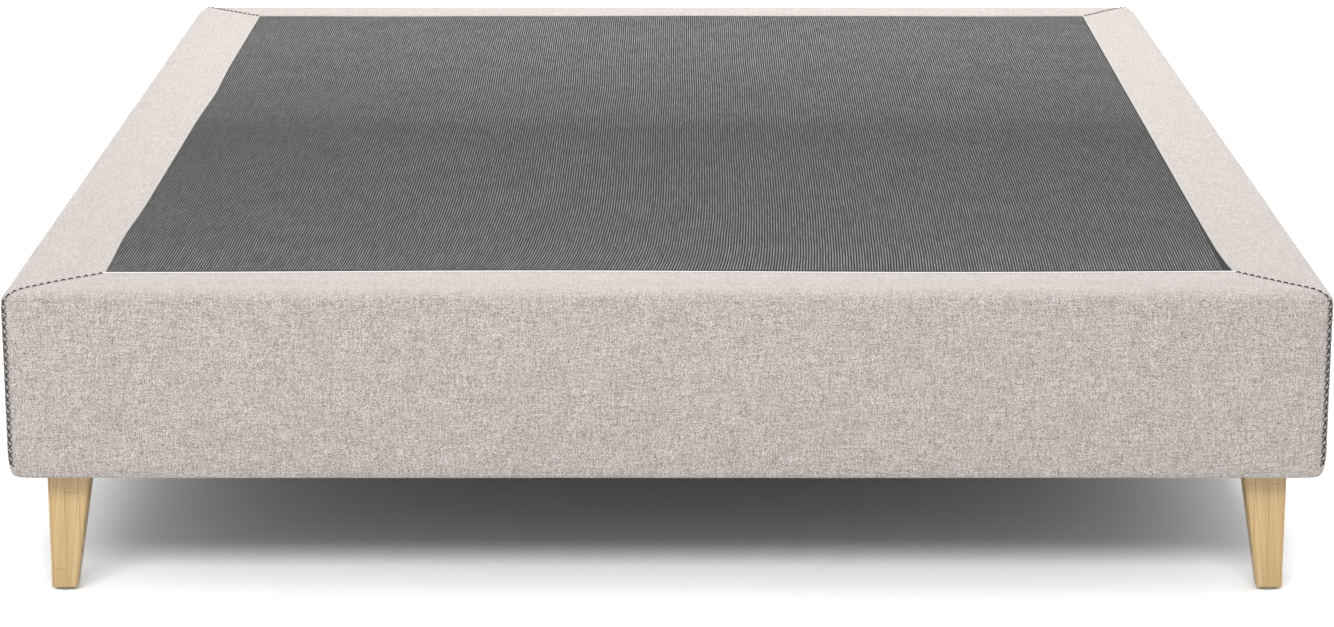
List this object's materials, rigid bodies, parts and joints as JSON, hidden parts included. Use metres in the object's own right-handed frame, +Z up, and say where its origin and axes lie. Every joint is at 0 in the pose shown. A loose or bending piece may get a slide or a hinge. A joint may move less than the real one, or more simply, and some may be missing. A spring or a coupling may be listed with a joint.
{
  "type": "upholstered bed base",
  "caption": "Low upholstered bed base for a 160 by 200 cm mattress: padded fabric cover with cross-stitched corners, dark grip-fabric top and tapered wooden legs.",
  "frame": {"origin": "on the floor under the middle of the base", "axes": "+Z up, +Y towards the head end, +X to the right as seen from the foot end"},
  "size_m": [1.6, 2, 0.392],
  "materials": {
    "cover_fabric": "light greige melange weave, matt",
    "grip_fabric": "dark grey fine-ribbed anti-slip fabric, matt",
    "seam_thread": "black twisted sewing thread",
    "foam": "open-cell foam padding",
    "dust_cloth": "black non-woven underlay cloth",
    "deck_board": "plain plywood board",
    "frame_timber": "planed softwood",
    "leg_wood": "light hardwood under a satin clear lacquer",
    "zinc_steel": "zinc-plated steel",
    "felt": "pressed felt",
    "foot_plastic": "black moulded plastic over a steel stud"
  },
  "bodies": {
    "root": {"beam_hanger_foot": "zinc_steel", "beam_hanger_head": "zinc_steel", "bearer_cleat_left": "frame_timber", "bearer_cleat_right": "frame_timber", "centre_beam": "frame_timber", "corner_block_back_left": "frame_timber", "corner_block_back_right": "frame_timber", "corner_block_front_left": "frame_timber", "corner_block_front_right": "frame_timber", "corner_stitch_back_left": "seam_thread", "corner_stitch_back_right": "seam_thread", "corner_stitch_front_left": "seam_thread", "corner_stitch_front_right": "seam_thread", "cover_back": "cover_fabric", "cover_front": "cover_fabric", "cover_left": "cover_fabric", "cover_right": "cover_fabric", "cross_bearer_1": "frame_timber", "cross_bearer_2": "frame_timber", "cross_bearer_3": "frame_timber", "cross_bearer_4": "frame_timber", "cross_bearer_5": "frame_timber", "deck_board_foot": "deck_board", "deck_board_head": "deck_board", "dust_cover": "dust_cloth", "foot_rail": "frame_timber", "glide_back_left": "felt", "glide_back_right": "felt", "glide_front_left": "felt", "glide_front_right": "felt", "head_rail": "frame_timber", "leg_back_left": "leg_wood", "leg_back_right": "leg_wood", "leg_bolt_back_left": "zinc_steel", "leg_bolt_back_right": "zinc_steel", "leg_bolt_front_left": "zinc_steel", "leg_bolt_front_right": "zinc_steel", "leg_front_left": "leg_wood", "leg_front_right": "leg_wood", "leg_plate_back_left": "zinc_steel", "leg_plate_back_right": "zinc_steel", "leg_plate_front_left": "zinc_steel", "leg_plate_front_right": "zinc_steel", "middle_bolt_foot_end": "zinc_steel", "middle_bolt_head_end": "zinc_steel", "middle_leg_foot_end": "leg_wood", "middle_leg_head_end": "leg_wood", "middle_plate_foot_end": "zinc_steel", "middle_plate_head_end": "zinc_steel", "side_foam": "foam", "side_rail_left": "frame_timber", "side_rail_right": "frame_timber", "top_pad": "foam", "top_panel": "grip_fabric"},
    "foot_end_levelling_foot": {"levelling_foot_foot_end": "foot_plastic"},
    "head_end_levelling_foot": {"levelling_foot_head_end": "foot_plastic"}
  },
  "joints": [
    {"name": "foot_end_levelling", "type": "slide", "parent": "root", "child": "foot_end_levelling_foot", "axis": [0, 0, -1], "range_m": [-0.006, 0.014]},
    {"name": "head_end_levelling", "type": "slide", "parent": "root", "child": "head_end_levelling_foot", "axis": [0, 0, -1], "range_m": [-0.006, 0.014]}
  ]
}
